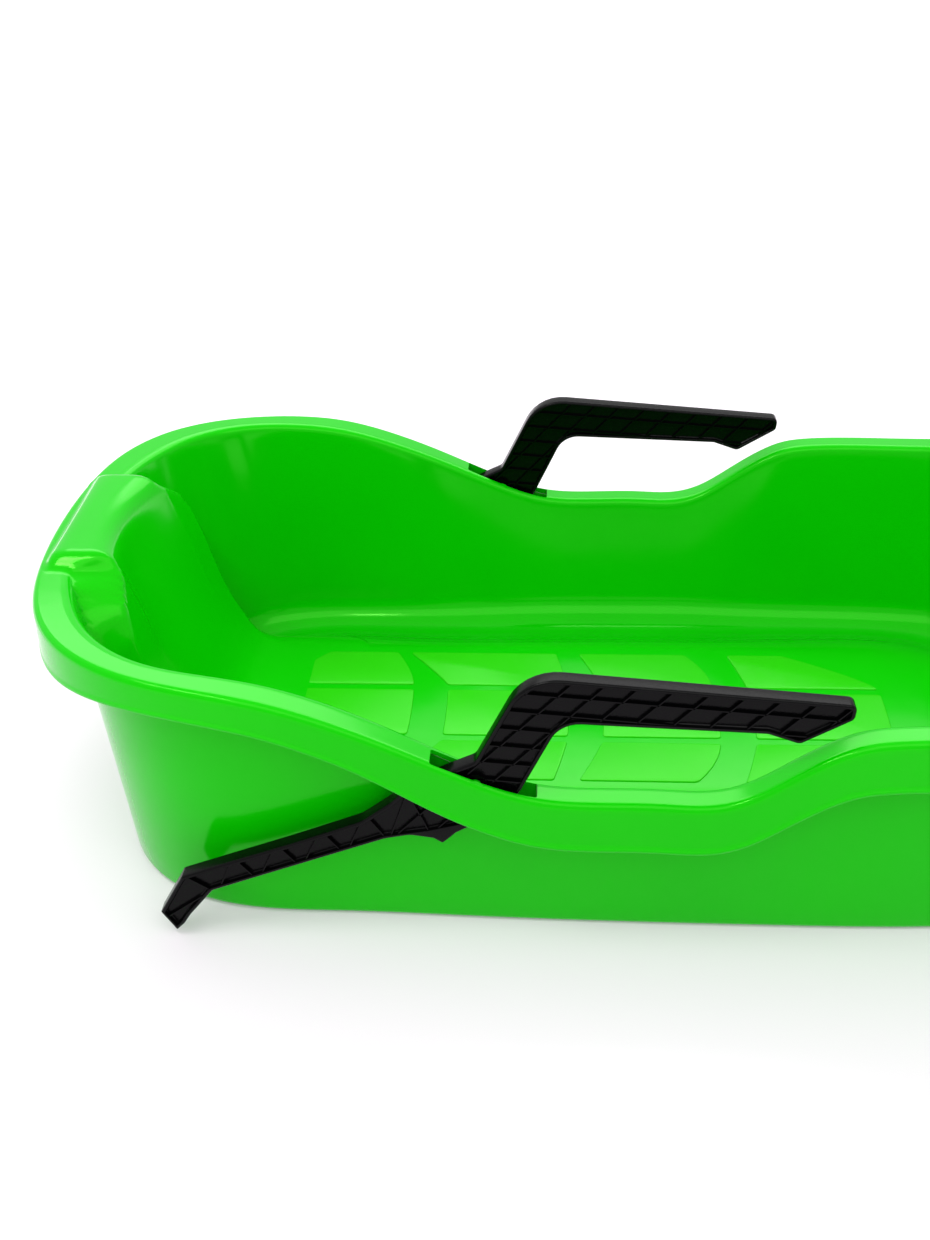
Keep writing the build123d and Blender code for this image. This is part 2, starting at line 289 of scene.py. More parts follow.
def build_tub():
    n_loop = 536
    roll, inner, foot, edge = Loop(ROLL), Loop(INNER), Loop(FOOT), Loop(SEAT_EDGE)
    # station parameters, evenly spaced along the roll line, mirrored exactly
    fine = np.linspace(0, 15, 3001)
    pr = roll.at(fine)
    ds = np.sqrt((np.diff(pr, axis=0) ** 2).sum(1))
    dens = 1.0 + 0.9 * np.exp(-((0.5 * (pr[1:, 0] + pr[:-1, 0]) + 290) / 45.0) ** 2)
    s = np.concatenate([[0], np.cumsum(ds * dens)])
    half = np.interp(np.linspace(0, s[-1], n_loop // 2 + 1), s, fine)
    k = np.concatenate([half, 30 - half[-2:0:-1]])
    n = len(k)
    R, I, F, E = roll.at(k), inner.at(k), foot.at(k), edge.at(k)
    cx = np.array(CENTRE, float)
    kk = np.where(k > 15, 30 - k, k)
    from_c = cubic(np.arange(16.0), cx[:, None], False)
    C = np.stack([spline_at(np.arange(16.0), cx[:, None], from_c, np.clip(kk, 0, 15))[:, 0], np.zeros(n)], 1)

    def normal(P):
        t = np.roll(P, -1, axis=0) - np.roll(P, 1, axis=0)
        t /= np.linalg.norm(t, axis=1, keepdims=True)
        return np.stack([-t[:, 1], t[:, 0]], 1)

    nR, nI, nF = normal(R), normal(I), normal(F)

    def p3(p2, z):
        return np.concatenate([p2, np.broadcast_to(np.asarray(z, float).reshape(-1, 1), (n, 1))], 1)

    zI = rim_z(I[:, 0])
    zR = rim_z(R[:, 0])
    rings = []
    part = []

    def put(points, name):
        for q in points:
            rings.append(q)
            part.append(name)

    # ---- upper surface, floor centre to the foot
    h = F - C
    h /= np.linalg.norm(h, axis=1, keepdims=True)
    p_foot = p3(F - h * 26.0, DISH + 6.0)
    p_in = p3(F - h * 86.0, DISH + 27.0)
    p_top = p3(I, zI)
    foot_arc = arc3(p_in, p_foot, p_top, 30.0, 13)
    start = foot_arc[0]
    n_seat, n_slope = 8, 20
    for i in range(n_seat):
        u = i / n_seat
        q = C + (E - C) * u
        put([p3(q, SEAT)], "floor")
    for i in range(n_slope):
        u = i / n_slope
        q = E + (start[:, :2] - E) * u
        # rounded shoulder, then a slope that runs level into the toe
        run = np.linalg.norm(start[:, :2] - E, axis=1)
        m1 = -0.35 * run
        dz = start[:, 2] - SEAT
        z = SEAT + (3 * u * u - 2 * u ** 3) * dz + (u ** 3 - u * u) * m1
        put([p3(q, z)], "floor")
    put(foot_arc, "foot")
    # ---- wall and inner roll of the rim
    p_flat = p3(I + nR * 10.0, zI)
    roll_in = arc3(p_foot, p_top, p_flat, 6.0, 7)
    put(straight(foot_arc[-1], roll_in[0], 22), "wall")
    put(roll_in, "roll_in")
    # ---- flat of the rim and its outer roll
    top_out = R + nR * (RIM_OUT - 1.2)
    low = low_z(R[:, 0])
    pa = p3(R - nR * 6.0, rim_z((R - nR * 6.0)[:, 0]))
    pb = p3(top_out, rim_z(top_out[:, 0]))
    pc = p3(R + nR * (RIM_OUT - 0.45), low + 3.4)
    roll_out = arc3(pa, pb, pc, 9.0, 11)
    flat = straight(roll_in[-1], roll_out[0], 16)
    for q in flat:
        u = (q[:, :2] - roll_in[-1][:, :2])
        q[:, 2] = rim_z(q[:, 0])
    put(flat, "flat")
    put(roll_out, "roll_out")
    # ---- skirt, its lower edge and inner face
    put(straight(roll_out[-1], pc, 8), "skirt")
    put([pc], "skirt")
    for out, up in ((0.08, 2.75), (0.0, 1.9), (0.0, 0.9), (0.35, 0.2), (0.95, 0.0), (2.1, 0.0),
                    (2.7, 0.25), (2.9, 0.9)):
        put([p3(R + nR * (RIM_OUT - out), low + up)], "skirt")
    pe = p3(R + nR * (RIM_OUT - WALL - 0.8), rim_z(R[:, 0]) - WALL)
    pf = p3(I + nI * WALL, zI - WALL)
    lip = rings[-1]
    under_out = arc3(lip, pe, pf, 4.5, 4)
    put(straight(lip, under_out[0], 5), "skirt_in")
    put(under_out, "skirt_in")
    # ---- underside of the flat and the outer wall
    pg = p3(F + nF * WALL, GROUND)
    under_in = arc3(under_out[-1], pf, pg, 3.0, 3)
    shelf = straight(under_out[-1], under_in[0], 6)
    for q in shelf:
        q[:, 2] = rim_z(q[:, 0]) - WALL
    put(shelf, "under")
    put(under_in, "under")
    ph = p3(F - h * 24.0, GROUND)
    heel = arc3(under_in[-1], pg, ph, 6.0, 6)
    put(straight(under_in[-1], heel[0], 10), "outer")
    put(heel, "outer")
    # ---- underside: runner face, slope, seat underside
    fin = F - h * 14.0
    put([p3(F - h * 8.0, GROUND), p3(fin, GROUND)], "bottom")
    E2 = E - (F - C) / np.linalg.norm(F - C, axis=1, keepdims=True) * 2.0
    for i in range(1, 15):
        u = 1 - i / 15.0
        q = E2 + (fin - E2) * u
        f = u - math.sin(2 * math.pi * u) / (2 * math.pi) * 0.62
        put([p3(q, SEAT - 3.4 + (GROUND - SEAT + 3.4) * f)], "bottom")
    for i in range(9):
        u = 1 - i / 8.0
        q = C + (E2 - C) * u
        put([p3(q, SEAT - 3.4)], "bottom")

    P = np.stack(rings)                      # (rings, stations, 3)
    names = np.array(part)

    # ---- back rest: the rear of the upper surface moves onto its profile
    bz = np.array(BACK, float)
    L = np.concatenate([[0], np.cumsum(np.sqrt((np.diff(bz, axis=0) ** 2).sum(1)))])
    bs = cubic(L, bz, False)

    def back_at(l):
        return spline_at(L, bz, bs, np.clip(l, 0, L[-1]))

    l_fine = np.linspace(0, L[-1], 1200)
    b_fine = back_at(l_fine)
    order = np.argsort(-b_fine[:, 0])
    bw = np.array(BACK_W, float)

    def l_of_x(x):
        return np.interp(-x, -b_fine[order, 0][::1], l_fine[order])

    def l_of_z(z):
        i = np.argmax(b_fine[:, 2 - 1] > z)
        return l_fine[i]

    rear = np.where((R[:, 0] < -150) & (np.abs(R[:, 1]) < 205))[0]
    l_toe = l_of_x(np.array([-112.0]))[0]
    l_1 = l_of_z(-66.0)
    l_2 = l_of_z(76.0)
    l_3 = L[12]
    l_4 = L[-1]
    idx = {m: np.where(names == m)[0] for m in ("floor", "foot", "wall", "roll_in", "flat")}
    seq_wall = np.concatenate([idx["foot"][1:], idx["wall"]])
    for c in rear:
        x_fs = P[idx["foot"][0], c, 0]
        for j in list(idx["floor"]) + [idx["foot"][0]]:
            x = P[j, c, 0]
            if x >= -112.0:
                l = l_of_x(np.array([x]))[0]
            else:
                l = l_toe + (-112.0 - x) / max(1e-3, -112.0 - x_fs) * (l_1 - l_toe)
            _mix(P, j, c, back_at(np.array([l]))[0], bw)
        m = len(seq_wall)
        for i, j in enumerate(seq_wall):
            l = l_1 + (l_2 - l_1) * (i + 1) / (m + 1)
            _mix(P, j, c, back_at(np.array([l]))[0], bw)
        m = len(idx["roll_in"])
        for i, j in enumerate(idx["roll_in"]):
            l = l_2 + (l_3 - l_2) * i / (m - 1)
            _mix(P, j, c, back_at(np.array([l]))[0], bw)
        m = len(idx["flat"])
        for i, j in enumerate(idx["flat"]):
            l = l_3 + (l_4 - l_3) * (i + 1) / m
            _mix(P, j, c, back_at(np.array([l]))[0], bw)

    nr = P.shape[0]
    verts = P.reshape(-1, 3)
    faces = []
    for a in range(nr - 1):
        for b in range(n):
            b2 = (b + 1) % n
            faces.append((a * n + b, a * n + b2, (a + 1) * n + b2, (a + 1) * n + b))
    ob = add_mesh("tub", verts, faces)
    bm = bmesh.new()
    bm.from_mesh(ob.data)
    bmesh.ops.remove_doubles(bm, verts=bm.verts, dist=2e-5)
    bmesh.ops.dissolve_degenerate(bm, dist=1e-6, edges=bm.edges)
    bmesh.ops.recalc_face_normals(bm, faces=bm.faces)
    loose = [e for e in bm.edges if len(e.link_faces) != 2]
    print("tub: open edges", len(loose), "faces", len(bm.faces))
    bm.to_mesh(ob.data)
    bm.free()
    return ob


def _mix(P, j, c, target, bw):
    x, y, z = P[j, c]
    w_half = np.interp(target[1], bw[:, 0], bw[:, 1])
    soft = 22.0 - 6.0 * float(smooth((target[1] - 50) / 35.0))
    soft += 26.0 * float(smooth((-45 - target[1]) / 38.0))
    # the panel is dished across the sled, most of all at its top edge
    bend = -4.5 + 11.0 * min(1.0, abs(y) / 64.0) ** 2
    bend *= float(smooth((target[1] + 50) / 115.0)) * min(1.0, max(0.0, (target[0] + 291) / 26.0))
    target = (target[0] + bend, target[1])
    w = float(smooth((w_half + 0.5 * soft - abs(y)) / soft))
    P[j, c, 0] = x + w * (target[0] - x)
    P[j, c, 2] = z + w * (target[1] - z)


tub = build_tub()

for side in (1, -1):
    ya, yb = sorted((side * SLOT_Y[0], side * SLOT_Y[1]))
    boolean(tub, block("cut", SLOT_X[0], SLOT_X[1], ya, yb, -22, 70, 1.5))
    boolean(tub, block("cut", 565, 577, side * 42 - 6, side * 42 + 6, 30, 90, 5.99, seg=8))
boolean(tub, block("cut", -330, -292, -84, 84, 20, 62, 9.0, axis="X"))
behind = block("cut", -332, -190, -74, 74, -95, 52, 14.0, axis="X")
prof = [(-335, 80), (-335, -105), (-198, -105), (-206, -62), (-214, -47), (-227, -17), (-239, 16),
        (-249, 46), (-254, 62), (-257, 80)]
m = len(prof)
wedge = add_mesh("wedge", [(x, -120, z) for x, z in prof] + [(x, 120, z) for x, z in prof],
                 [tuple(range(m)), tuple(range(2 * m - 1, m - 1, -1))]
                 + [(i, m + i, m + (i + 1) % m, (i + 1) % m) for i in range(m)])
bm = bmesh.new()
bm.from_mesh(wedge.data)
bmesh.ops.recalc_face_normals(bm, faces=bm.faces)
bm.to_mesh(wedge.data)
bm.free()
boolean(behind, wedge, "INTERSECT")
boolean(tub, behind)
shade(tub, 38)


def pin(name, side):
    """Pivot bar across the brake slot."""
    n = 28
    y0, y1 = 190.5, 208.6
    prof = [(y0, 6.0), (y0 + 1.6, 4.4), (y0 + 2.4, 3.98), (y1 - 2.0, 3.98), (y1 - 1.2, 4.4), (y1, 6.0)]
    vs, fs = [], []
    for y, r in prof:
        for i in range(n):
            a = 2 * math.pi * i / n
            vs.append((PIVOT[0] + r * math.cos(a), side * y, PIVOT[1] + r * math.sin(a)))
    for a in range(len(prof) - 1):
        for i in range(n):
            fs.append((a * n + i, a * n + (i + 1) % n, (a + 1) * n + (i + 1) % n, (a + 1) * n + i))
    fs.append(tuple(range(n)))
    fs.append(tuple(range((len(prof) - 1) * n, len(prof) * n)))
    ob = add_mesh(name, vs, fs)
    bm = bmesh.new()
    bm.from_mesh(ob.data)
    bmesh.ops.recalc_face_normals(bm, faces=bm.faces)
    bm.to_mesh(ob.data)
    bm.free()
    shade(ob, 50)
    return ob


pins = [pin("pivot_bar_left", 1), pin("pivot_bar_right", -1)]


# -------------------------------------------------------------- floor panels
def round_poly(pts, radii, seg=6):
    """Closed 2-D polygon with rounded corners."""
    out = []
    m = len(pts)
    for i in range(m):
        p0, p1, p2 = (np.array(pts[(i + d) % m], float) for d in (-1, 0, 1))
        r = radii[i] if hasattr(radii, "__len__") else radii
        a, b = p0 - p1, p2 - p1
        la, lb = np.linalg.norm(a), np.linalg.norm(b)
        a, b = a / la, b / lb
        ang = math.acos(max(-1, min(1, float(a @ b))))
        if r <= 0 or ang > math.pi - 0.03:
            out.append(tuple(p1))
            continue
        tl = min(r / math.tan(ang / 2), 0.47 * la, 0.47 * lb)
        rr = tl * math.tan(ang / 2)
        bis = (a + b) / np.linalg.norm(a + b)
        c = p1 + bis * rr / math.sin(ang / 2)
        s, e = p1 + a * tl - c, p1 + b * tl - c
        om = math.pi - ang
        for q in range(seg + 1):
            u = q / seg
            out.append(tuple(c + (s * math.sin((1 - u) * om) + e * math.sin(u * om)) / math.sin(om)))
    return out


def inset(poly, d):
    """Polygon moved inward by d (counter-clockwise polygon)."""
    m = len(poly)
    out = []
    for i in range(m):
        p0, p1, p2 = (np.array(poly[(i + k) % m], float) for k in (-1, 0, 1))
        a, b = p1 - p0, p2 - p1
        a /= max(1e-9, np.linalg.norm(a))
        b /= max(1e-9, np.linalg.norm(b))
        na, nb = np.array([-a[1], a[0]]), np.array([-b[1], b[0]])
        v = na + nb
        v /= max(1e-9, np.linalg.norm(v))
        out.append(tuple(p1 + v * d / max(0.35, float(v @ na))))
    return out


def ccw(poly):
    a = 0.0
    for (x0, y0), (x1, y1) in zip(poly, poly[1:] + poly[:1]):
        a += x0 * y1 - x1 * y0
    return poly if a > 0 else poly[::-1]


def pad(poly, z0, z1, bevel, steps=3):
    """Raised panel with a rounded edge: vertices and faces."""
    poly = ccw(poly)
    rings = [(0.0, z0)]
    for i in range(steps + 1):
        a = 0.5 * math.pi * i / steps
        rings.append((bevel * (1 - math.cos(a)) + 0.15, z1 - bevel * (1 - math.sin(a))))
    m = len(poly)
    vs, fs = [], []
    for d, z in rings:
        vs += [(x, y, z) for x, y in inset(poly, d)]
    for r in range(len(rings) - 1):
        for i in range(m):
            fs.append((r * m + i, r * m + (i + 1) % m, (r + 1) * m + (i + 1) % m, (r + 1) * m + i))
    fs.append(tuple(range((len(rings) - 1) * m, len(rings) * m)))
    fs.append(tuple(range(m))[::-1])
    return vs, fs


def bowed(x, bow, y, ymax):
    """Cross gap edge: an arc that bulges forward in the middle of the floor."""
    return x + bow * (1 - (y / ymax) ** 2)


def panel_outlines():
    out = []
    rows = ((-29.5, 29.5), (36.0, 82.0), (-82.0, -36.0))
    cols = ((-160, -62, 2.0, 7.5), (-34, 60, 6.0, 8.0), (86, 174, 8.0, 9.0), (200, 305, 9.0, 6.0))
    for y0, y1 in rows:
        outer = abs(y0) > 34 or abs(y1) > 34
        for ci, (x0, x1, b0, b1) in enumerate(cols):
            pts = []
            m = 9
            for i in range(m + 1):                 # rear edge, y0 to y1
                y = y0 + (y1 - y0) * i / m
                x = bowed(x0, b0, y, 88)
                if outer:
                    v = max(0.0, (abs(y) - 36) / 46.0)
                    x += (30 * v ** 1.6, -30 * v ** 1.1, -12 * v, -6 * v)[ci]
                pts.append((x, y))
            for i in range(m + 1):                 # front edge, y1 to y0
                y = y1 + (y0 - y1) * i / m
                x = bowed(x1, b1, y, 88)
                if outer:
                    v = max(0.0, (abs(y) - 36) / 46.0)
                    x -= (12 * v ** 1.5, 4 * v, 14 * v ** 2, 66 * v ** 1.3)[ci]
                pts.append((x, y))
            rad = [0.0] * len(pts)
            for q in (0, m, m + 1, 2 * m + 1):
                rad[q] = 8.0
            if outer:
                far = (m, m + 1) if y1 > 60 else (0, 2 * m + 1)
                rear, front = far
                rad[rear] = (9.0, 6.0, 6.0, 6.0)[ci]
                rad[front] = (30.0, 26.0, 26.0, 12.0)[ci]
            out.append(round_poly(pts, rad))
    return out


pv, pf = [], []
for poly in panel_outlines():
    v, f = pad(poly, SEAT - 0.6, SEAT + 0.9, 0.75)
    o = len(pv)
    pv += v
    pf += [tuple(i + o for i in q) for q in f]
panels = add_mesh("floor_panels", pv, pf)
bm = bmesh.new()
bm.from_mesh(panels.data)
bmesh.ops.recalc_face_normals(bm, faces=bm.faces)
bm.to_mesh(panels.data)
bm.free()
shade(panels, 50)

# ------------------------------------------------------------- brake levers
LEVER_T = 11.6
# outline corners (x, z, radius), with the small spring finger under the rim
L_PTS = [(9.3, 28, 7), (40.4, 91.8, 33), (237.0, 74.2, 7), (236.0, 64.0, 5), (205.5, 45.3, 5),
         (186, 52.5, 6), (61.9, 58.2, 19), (37.5, 6, 20), (27, -12, 10), (6, -23.5, 6),
         (-4, -29.5, 3), (-9.5, -35.2, 1.6), (-13.3, -38.6, 1.6), (-19, -34.6, 4), (-34, -32.3, 14),
         (-50.3, -35.8, 20), (-129.5, -68, 60), (-169, -84.2, 5), (-187, -107, 30), (-192, -115, 4),
         (-198, -121.3, 0.8), (-207, -105, 1.0), (-188.5, -72.5, 4), (-111, -41.5, 60),
         (-65, -22, 30), (-45, -6, 20), (-34, 6, 8), (-4, 21.5, 3)]
# outline that the sunk faces follow
S_PTS = [(9.3, 28, 7), (40.4, 91.8, 33), (237.0, 74.2, 7), (236.0, 64.0, 5), (205.5, 45.3, 5),
         (186, 52.5, 6), (61.9, 58.2, 19), (37.5, 6, 20), (27, -12, 12), (6, -22.5, 18), (-22, -30.5, 14),
         (-50.3, -35.8, 20), (-129.5, -68, 60), (-169, -84.2, 5), (-187, -107, 30), (-192, -115, 4),
         (-198, -121.3, 0.8), (-207, -105, 1.0), (-188.5, -72.5, 4), (-111, -41.5, 60), (-65, -22, 30),
         (-45, -6, 20), (-34, 6, 8), (-4, 21.5, 3)]
WEB = 2.6                 # half thickness of the sunk web
FRAME = 2.2               # width of the border left around it


def fix_normals(ob):
    bm = bmesh.new()
    bm.from_mesh(ob.data)
    bmesh.ops.recalc_face_normals(bm, faces=bm.faces)
    bm.to_mesh(ob.data)
    bm.free()


def prism(name, poly, y0, y1):
    return join_prisms(name, [poly], y0, y1)


def join_prisms(name, polys, y0, y1):
    vs, fs = [], []
    for poly in polys:
        poly = ccw(poly)
        m, o = len(poly), len(vs)
        vs += [(x, y0, z) for x, z in poly] + [(x, y1, z) for x, z in poly]
        fs += [tuple(o + i for i in range(m)), tuple(o + i for i in range(2 * m - 1, m - 1, -1))]
        fs += [(o + i, o + m + i, o + m + (i + 1) % m, o + (i + 1) % m) for i in range(m)]
    ob = add_mesh(name, vs, fs)
    fix_normals(ob)
    return ob


def strip(a, b, w):
    """Four corners of a straight rib from a to b."""
    a, b = np.array(a, float), np.array(b, float)
    d = (b - a) / np.linalg.norm(b - a)
    m = np.array([-d[1], d[0]]) * w / 2
    return [tuple(a - m), tuple(b - m), tuple(b + m), tuple(a + m)]


def inside_runs(a, b, poly, grow):
    """Stretches of the segment a-b that lie inside the polygon, each a little longer."""
    a, b = np.array(a, float), np.array(b, float)
    ln = np.linalg.norm(b - a)
    ts = []
    for p, q in zip(poly, poly[1:] + poly[:1]):
        p, q = np.array(p, float), np.array(q, float)
        r, e = b - a, q - p
        den = r[0] * e[1] - r[1] * e[0]
        if abs(den) < 1e-9:
            continue
        t = ((p[0] - a[0]) * e[1] - (p[1] - a[1]) * e[0]) / den
        u = ((p[0] - a[0]) * r[1] - (p[1] - a[1]) * r[0]) / den
        if 0 <= u < 1:
            ts.append(t)
    ts.sort()
    g = grow / ln
    out = []
    for t0, t1 in zip(ts[0::2], ts[1::2]):
        t0, t1 = max(t0, 0.0) - g, min(t1, 1.0) + g
        if (t1 - t0) * ln > 3.0:
            out.append((a + (b - a) * t0, a + (b - a) * t1))
    return out


def rib_lines():
    """Long ribs along the grip and neck, and slanted ribs across them."""
    out = []
    s = math.tan(math.radians(-5.1))
    for c in (77.0, 63.5, 50.0, 36.5, 23.0, 9.5, -4.0):
        out.append((((-30, c + s * (-30 - 66))), ((245, c + s * (245 - 66)))))
    d = (math.cos(math.radians(47)), math.sin(math.radians(47)))
    for x in (-52, -31, -10, 11, 34, 57, 80, 103, 126, 149):
        out.append(((x - 20 * d[0], -20 - 20 * d[1]), (x + d[0] * 175, -20 + d[1] * 175)))
    return out


def arm_lines():
    up = [(-34, 2), (-62, -16.5), (-92, -30.5), (-122, -43), (-152, -55)]
    lo = [(-20, -33), (-48, -38), (-77, -50.5), (-107, -62.5), (-137, -74.5), (-166, -87)]
    out = []
    for i, u in enumerate(up):
        out.append((lo[i], u))
        out.append((u, lo[i + 1]))
    out.append(((-190, -70), (-166, -87)))
    out.append(((-166, -82), (-206, -112)))
    return out


def circle(cx, cz, r, n=40):
    return [(cx + r * math.cos(2 * math.pi * i / n), cz + r * math.sin(2 * math.pi * i / n)) for i in range(n)]


def tube(name, cx, cz, r0, r1, y0, y1, n=40):
    """Ring round an axis along Y."""
    vs, fs = [], []
    for y, r in ((y0, r0), (y0, r1), (y1, r1), (y1, r0)):
        vs += [(cx + r * math.cos(2 * math.pi * i / n), y, cz + r * math.sin(2 * math.pi * i / n))
               for i in range(n)]
    for a in range(4):
        b = (a + 1) % 4
        fs += [(a * n + i, a * n + (i + 1) % n, b * n + (i + 1) % n, b * n + i) for i in range(n)]
    ob = add_mesh(name, vs, fs)
    fix_normals(ob)
    return ob


def merge(ob, others):
    bm = bmesh.new()
    bm.from_mesh(ob.data)
    for q in others:
        bm.from_mesh(q.data)
    bm.to_mesh(ob.data)
    bm.free()
    for q in others:
        bpy.data.objects.remove(q)


def ring_xz(pts, d, seg=7):
    """Rounded outline moved inward by d, always with the same number of points."""
    corners, rad = [(x, z) for x, z, _ in pts], [q for _, _, q in pts]
    if sum(a[0] * b[1] - b[0] * a[1] for a, b in zip(corners, corners[1:] + corners[:1])) < 0:
        corners, rad = corners[::-1], rad[::-1]
    m = len(corners)
    moved = inset(corners, d) if d else corners
    out = []
    for i in range(m):
        a, b, c = corners[i - 1], corners[i], corners[(i + 1) % m]
        cross = (b[0] - a[0]) * (c[1] - b[1]) - (b[1] - a[1]) * (c[0] - b[0])
        r = max(0.35, rad[i] - d) if cross > 0 else rad[i] + d
        p0, p1, p2 = (np.array(moved[(i + k) % m], float) for k in (-1, 0, 1))
        u, v = p0 - p1, p2 - p1
        lu, lv = np.linalg.norm(u), np.linalg.norm(v)
        u, v = u / lu, v / lv
        half = 0.5 * math.acos(max(-1.0, min(0.99999, float(u @ v))))
        half = min(half, 0.5 * math.pi - 1e-3)
        tl = min(r / math.tan(half), 0.45 * lu, 0.45 * lv)
        rr = tl * math.tan(half)
        bis = u + v
        bis /= max(1e-12, np.linalg.norm(bis))
        c0 = p1 + bis * rr / math.sin(half)
        st, en = p1 + u * tl - c0, p1 + v * tl - c0
        om = math.pi - 2 * half
        for q in range(seg + 1):
            w = q / seg
            out.append(tuple(c0 + (st * math.sin((1 - w) * om) + en * math.sin(w * om)) / math.sin(om)))
    return out


def build_lever(name, side):
    yc = side * LEVER_Y
    t, b = LEVER_T / 2, 1.9
    n_b = 5
    vs, fs = [], []

    def ring(poly, y):
        o = len(vs)
        vs.extend((x, yc + y, z) for x, z in poly)
        return list(range(o, o + len(poly)))

    def band(a, c):
        n = len(a)
        fs.extend((a[i], a[(i + 1) % n], c[(i + 1) % n], c[i]) for i in range(n))

    def fill(loops):
        flat = [i for lp in loops for i in lp]
        tris = tessellate_polygon([[Vector((vs[i][0], vs[i][2], 0.0)) for i in lp] for lp in loops])
        fs.extend(tuple(flat[k] for k in tri) for tri in tris)

    edge = []
    for k in range(n_b + 1):
        a = 0.5 * math.pi * (1 - k / n_b)
        edge.append((b * (1 - math.cos(a)), t - b * (1 - math.sin(a))))
    outer = [ring(ring_xz(L_PTS, d), y) for d, y in edge]
    outer += [ring(ring_xz(L_PTS, d), -y) for d, y in reversed(edge)]
    for p, q in zip(outer, outer[1:]):
        band(p, q)
    holes = []
    for s, border in ((1, outer[0]), (-1, outer[-1])):
        lip = ring(ring_xz(S_PTS, FRAME), s * t)
        lip2 = ring(ring_xz(S_PTS, FRAME + 0.25), s * (t - 0.25))
        low = ring(ring_xz(S_PTS, FRAME + 0.7), s * (WEB + 0.5))
        base = ring(ring_xz(S_PTS, FRAME + 1.2), s * WEB)
        fill([border, lip])
        band(lip, lip2)
        band(lip2, low)
        band(low, base)
        hole = ring(circle(*PIVOT, 4.15), s * WEB)
        fill([base, hole])
        holes.append(hole)
    band(holes[0], holes[1])
    ob = add_mesh(name, vs, fs)
    fix_normals(ob)
    sunk = ring_xz(S_PTS, FRAME)
    extra = []
    for s in (1, -1):
        a, c = sorted((yc + s * (WEB - 0.5), yc + s * (t - 0.9)))
        polys = []
        for p, q in rib_lines():
            for r0, r1 in inside_runs(p, q, sunk, 0.7):
                if max(r0[0], r1[0]) > -20:          # the arm has its own zigzag
                    polys.append(strip(r0, r1, 0.8))
        for p, q in arm_lines():
            for r0, r1 in inside_runs(p, q, sunk, 0.7):
                polys.append(strip(r0, r1, 0.8))
        extra.append(join_prisms("ribs", polys, a, c))
        extra.append(tube("boss", PIVOT[0], PIVOT[1], 4.15, 7.6, a, c))
    n_body = len(ob.data.polygons)
    merge(ob, extra)
    # ribs and boss take the second material, the lighter black of the painted highlight
    for i, f in enumerate(ob.data.polygons):
        f.material_index = 1 if i >= n_body else 0
    shade(ob, 32)
    print(name, "faces", len(ob.data.polygons))
    return ob


levers = {"left": build_lever("lever_left", 1), "right": build_lever("lever_right", -1)}


# ---------------------------------------------------------------- materials
def plastic(name, color, dark, rough, orange_peel=0.02, grain=None, coat=0.0, sss=0.0, spec=0.5,
            tint=(0.27, 1.0, 0.15)):
    m = bpy.data.materials.new(name)
    m.use_nodes = True
    nt = m.node_tree
    bs = nt.nodes["Principled BSDF"]
    bs.inputs["Specular IOR Level"].default_value = spec
    bs.inputs["Specular Tint"].default_value = (*tint, 1)
    co = nt.nodes.new("ShaderNodeTexCoord")
    n1 = nt.nodes.new("ShaderNodeTexNoise")
    n1.inputs["Scale"].default_value = 9.0
    n1.inputs["Detail"].default_value = 3.0
    nt.links.new(co.outputs["Object"], n1.inputs["Vector"])
    mix = nt.nodes.new("ShaderNodeMix")
    mix.data_type = "RGBA"
    ramp = nt.nodes.new("ShaderNodeMapRange")
    ramp.inputs["From Min"].default_value = 0.3
    ramp.inputs["From Max"].default_value = 0.7
    nt.links.new(n1.outputs["Fac"], ramp.inputs["Value"])
    nt.links.new(ramp.outputs["Result"], mix.inputs[0])
    mix.inputs[6].default_value = (*color, 1)
    mix.inputs[7].default_value = (*dark, 1)
    nt.links.new(mix.outputs[2], bs.inputs["Base Color"])
    n2 = nt.nodes.new("ShaderNodeTexNoise")
    n2.inputs["Scale"].default_value = 55.0
    n2.inputs["Detail"].default_value = 4.0
    nt.links.new(co.outputs["Object"], n2.inputs["Vector"])
    rr = nt.nodes.new("ShaderNodeMapRange")
    rr.inputs["From Min"].default_value = 0.3
    rr.inputs["From Max"].default_value = 0.7
    rr.inputs["To Min"].default_value = rough * 0.88
    rr.inputs["To Max"].default_value = rough * 1.14
    nt.links.new(n2.outputs["Fac"], rr.inputs["Value"])
    nt.links.new(rr.outputs["Result"], bs.inputs["Roughness"])
    n3 = nt.nodes.new("ShaderNodeTexNoise")
    n3.inputs["Scale"].default_value = 38.0
    n3.inputs["Detail"].default_value = 2.0
    nt.links.new(co.outputs["Object"], n3.inputs["Vector"])
    bump = nt.nodes.new("ShaderNodeBump")
    bump.inputs["Strength"].default_value = orange_peel
    bump.inputs["Distance"].default_value = 0.004
    nt.links.new(n3.outputs["Fac"], bump.inputs["Height"])
    last = bump
    if grain:
        n4 = nt.nodes.new("ShaderNodeTexNoise")
        n4.inputs["Scale"].default_value = grain
        n4.inputs["Detail"].default_value = 2.0
        nt.links.new(co.outputs["Object"], n4.inputs["Vector"])
        b2 = nt.nodes.new("ShaderNodeBump")
        b2.inputs["Strength"].default_value = 0.25
        b2.inputs["Distance"].default_value = 0.0006
        nt.links.new(n4.outputs["Fac"], b2.inputs["Height"])
        nt.links.new(bump.outputs["Normal"], b2.inputs["Normal"])
        last = b2
    nt.links.new(last.outputs["Normal"], bs.inputs["Normal"])
    bs.inputs["Coat Weight"].default_value = coat
    bs.inputs["Coat Roughness"].default_value = 0.06
    bs.inputs["IOR"].default_value = 1.5
    if sss:
        bs.inputs["Subsurface Weight"].default_value = sss
        bs.inputs["Subsurface Radius"].default_value = (0.002, 0.012, 0.002)
        bs.inputs["Subsurface Scale"].default_value = 1.0
    return m


